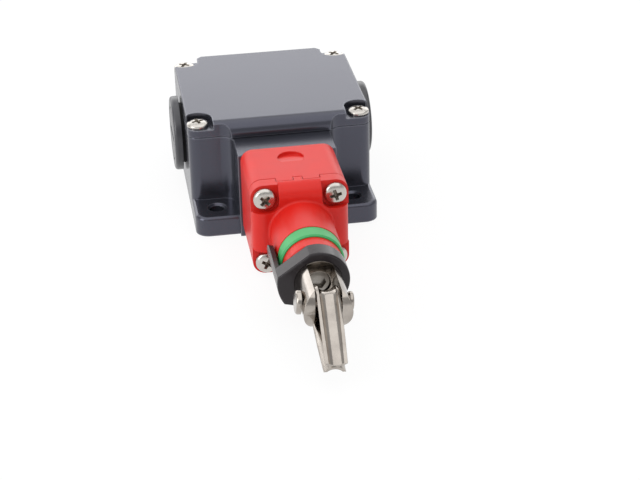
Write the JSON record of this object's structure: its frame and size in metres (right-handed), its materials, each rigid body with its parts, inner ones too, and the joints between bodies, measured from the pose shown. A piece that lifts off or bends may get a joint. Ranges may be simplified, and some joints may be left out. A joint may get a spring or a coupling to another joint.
{
  "type": "rope pull switch",
  "caption": "Safety rope pull switch: die-cast housing with screwed cover, square red head, round nose with green tension band, pointer collar, and a sprung fork with a rope thimble.",
  "frame": {"origin": "on the base plane, at the centre of the rectangle of the four fixing holes", "axes": "+Z out of the cover, away from the mounting surface; the rope pulls along -Y; +X to the right when looking along +Y"},
  "size_m": [0.076, 0.2056, 0.0384],
  "materials": {
    "charcoal_coating": "charcoal powder coat on die-cast aluminium",
    "red_plastic": "signal red moulded plastic",
    "green_plastic": "green moulded plastic",
    "black_plastic": "black moulded plastic",
    "grey_plastic": "dark grey moulded plastic",
    "cream_plastic": "cream moulded contact block",
    "zinc_steel": "bright zinc plate",
    "steel": "turned steel",
    "spring_steel": "spring steel",
    "bronze": "sintered bronze",
    "brass": "bright brass",
    "rubber": "black rubber"
  },
  "bodies": {
    "base": {"housing": "charcoal_coating", "cover": "charcoal_coating", "cover_gasket": "rubber", "cover_screws": "zinc_steel", "conduit_plug_left": "grey_plastic", "conduit_plug_right": "grey_plastic", "plug_seals": "rubber", "head_shell": "red_plastic", "head_nose": "red_plastic", "head_gasket": "rubber", "head_screws": "zinc_steel", "tension_ring": "green_plastic", "guide_bush": "bronze", "shaft_seal": "rubber", "return_spring": "spring_steel", "contact_block": "cream_plastic", "block_lid": "cream_plastic", "block_screws": "zinc_steel", "fixed_contacts": "brass", "terminal_screws": "zinc_steel", "plunger_spring": "spring_steel", "earth_screw": "brass"},
    "pull": {"pull_shaft": "steel", "spring_washer": "steel", "retaining_ring": "spring_steel", "cam_slide": "cream_plastic", "slide_pin": "steel", "indicator_collar": "black_plastic", "clevis": "zinc_steel", "clevis_screw": "steel", "clevis_pin": "zinc_steel"},
    "thimble": {"thimble": "zinc_steel"},
    "plunger": {"contact_plunger": "black_plastic", "contact_bridge": "brass"}
  },
  "joints": [
    {"name": "pull_slide", "type": "slide", "parent": "base", "child": "pull", "axis": [0, -1, 0], "range_m": [0, 0.018], "stiffness_N_per_m": 2500, "springref_m": -0.004, "deforming": ["return_spring"]},
    {"name": "thimble_swing", "type": "hinge", "parent": "pull", "child": "thimble", "pos_m": [0, -0.13165, 0.0176], "axis": [-0.9962, 0, 0.0872], "range_deg": [-30, 60]},
    {"name": "plunger_slide", "type": "slide", "parent": "base", "child": "plunger", "axis": [-1, 0, 0], "range_m": [0, 0.004], "deforming": ["plunger_spring"]}
  ],
  "couplings": [
    {"joint": "plunger_slide", "follows": "pull_slide", "ratio": 0.2222}
  ]
}
